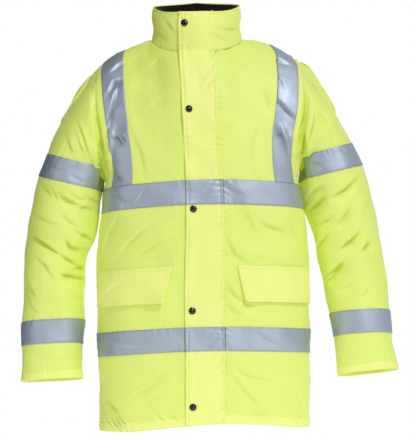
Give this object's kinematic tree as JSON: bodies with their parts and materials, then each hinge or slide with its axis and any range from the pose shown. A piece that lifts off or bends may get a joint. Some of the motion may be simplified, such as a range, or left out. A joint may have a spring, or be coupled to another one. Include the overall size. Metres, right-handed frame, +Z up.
{
  "type": "hi-vis work jacket",
  "caption": "Padded hi-vis work jacket in its hollow worn form, with a stand collar, a storm flap closed by press studs, pocket flaps, and reflective tape bands and braces.",
  "frame": {"origin": "middle of the base of the neck, between the two points where the shoulder seams meet the collar, where the wearer's shoulders hold the jacket", "axes": "+Z up along the body towards the collar; +Y towards the wearer's back, so the front faces -Y; +X towards the wearer's left"},
  "size_m": [0.8043, 0.2647, 0.9172],
  "materials": {
    "shell": "coated woven polyester, fluorescent yellow, satin",
    "flaps": "coated woven polyester, fluorescent yellow, satin, two layers",
    "reflective_tape": "silver-grey retroreflective tape, low sheen",
    "collar_lining": "black fleece, matt",
    "studs": "black gloss enamel"
  },
  "bodies": {
    "root": {"back": "shell", "brace_left": "reflective_tape", "brace_right": "reflective_tape", "chest_tape_back": "reflective_tape", "chest_tape_flap": "reflective_tape", "chest_tape_front_left": "reflective_tape", "chest_tape_front_right": "reflective_tape", "collar": "shell", "collar_lining": "collar_lining", "front_left": "shell", "front_right": "shell", "low_sleeve_tape_left": "reflective_tape", "low_sleeve_tape_right": "reflective_tape", "low_tape_back": "reflective_tape", "low_tape_flap": "reflective_tape", "low_tape_front_left": "reflective_tape", "low_tape_front_right": "reflective_tape", "pocket_flap_left": "flaps", "pocket_flap_right": "flaps", "sleeve_left": "shell", "sleeve_right": "shell", "snap_1": "studs", "snap_2": "studs", "snap_3": "studs", "snap_4": "studs", "snap_5": "studs", "storm_flap": "flaps", "upper_sleeve_tape_left": "reflective_tape", "upper_sleeve_tape_right": "reflective_tape"}
  },
  "joints": []
}
